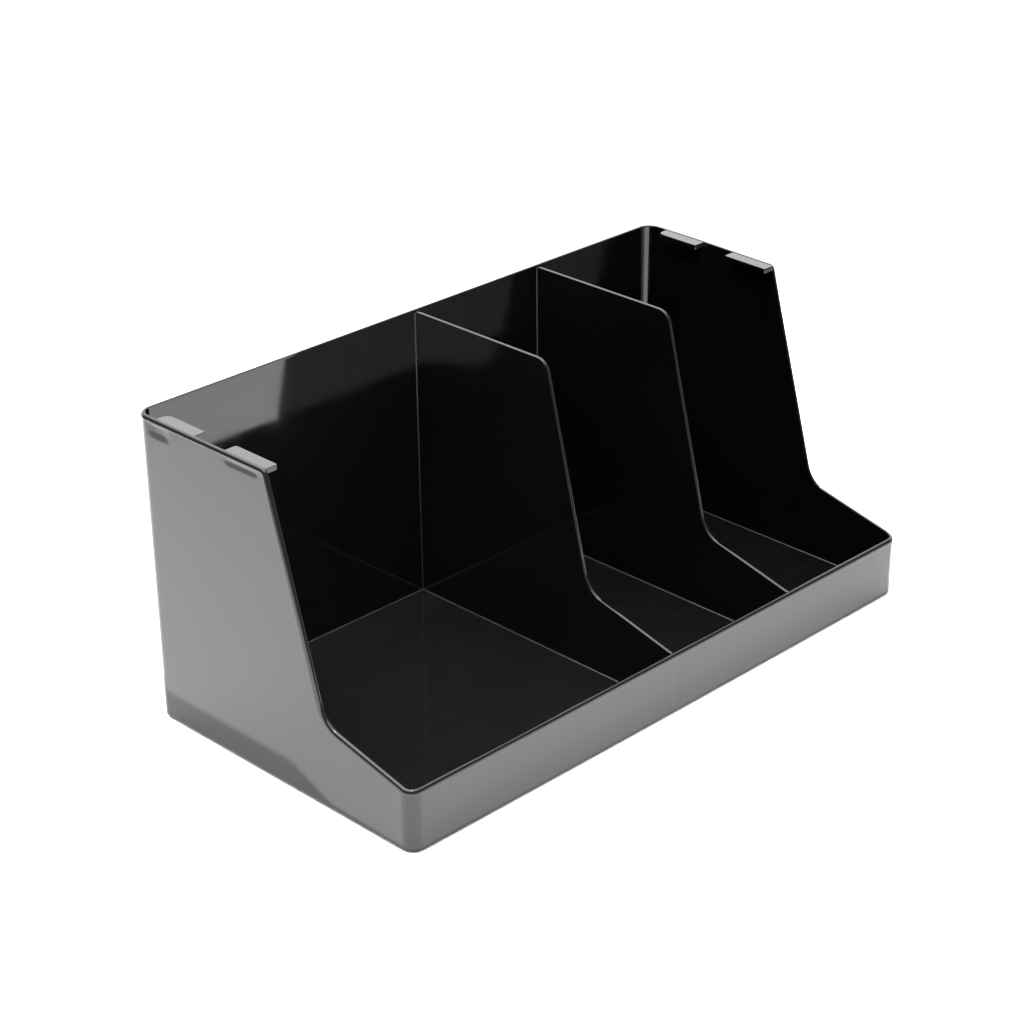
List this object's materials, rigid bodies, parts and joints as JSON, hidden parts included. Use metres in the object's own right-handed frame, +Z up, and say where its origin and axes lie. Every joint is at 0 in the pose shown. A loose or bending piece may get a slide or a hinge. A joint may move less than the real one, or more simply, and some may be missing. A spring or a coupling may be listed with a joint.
{
  "type": "countertop organizer",
  "caption": "Gloss black moulded countertop organizer: tall back, stepped sides, low front lip, one wide bay, two narrow bays, stacking ledges on the rims.",
  "frame": {"origin": "on the surface the organizer stands on, under the middle of the tray", "axes": "+Z up, +X to the right along the front, front lip towards -Y"},
  "size_m": [0.451, 0.2304, 0.205],
  "materials": {
    "moulded_plastic": "high-gloss injection-moulded polystyrene, faint ripple, fine satin texture on the ledge tops",
    "foot_rubber": "matt non-slip pad"
  },
  "bodies": {
    "root": {"tray_shell": "moulded_plastic", "centre_divider": "moulded_plastic", "right_divider": "moulded_plastic", "ledge_front_left": "moulded_plastic", "ledge_front_right": "moulded_plastic", "ledge_back_left": "moulded_plastic", "ledge_back_right": "moulded_plastic", "foot_front_left": "foot_rubber", "foot_front_right": "foot_rubber", "foot_back_left": "foot_rubber", "foot_back_right": "foot_rubber"}
  },
  "joints": []
}
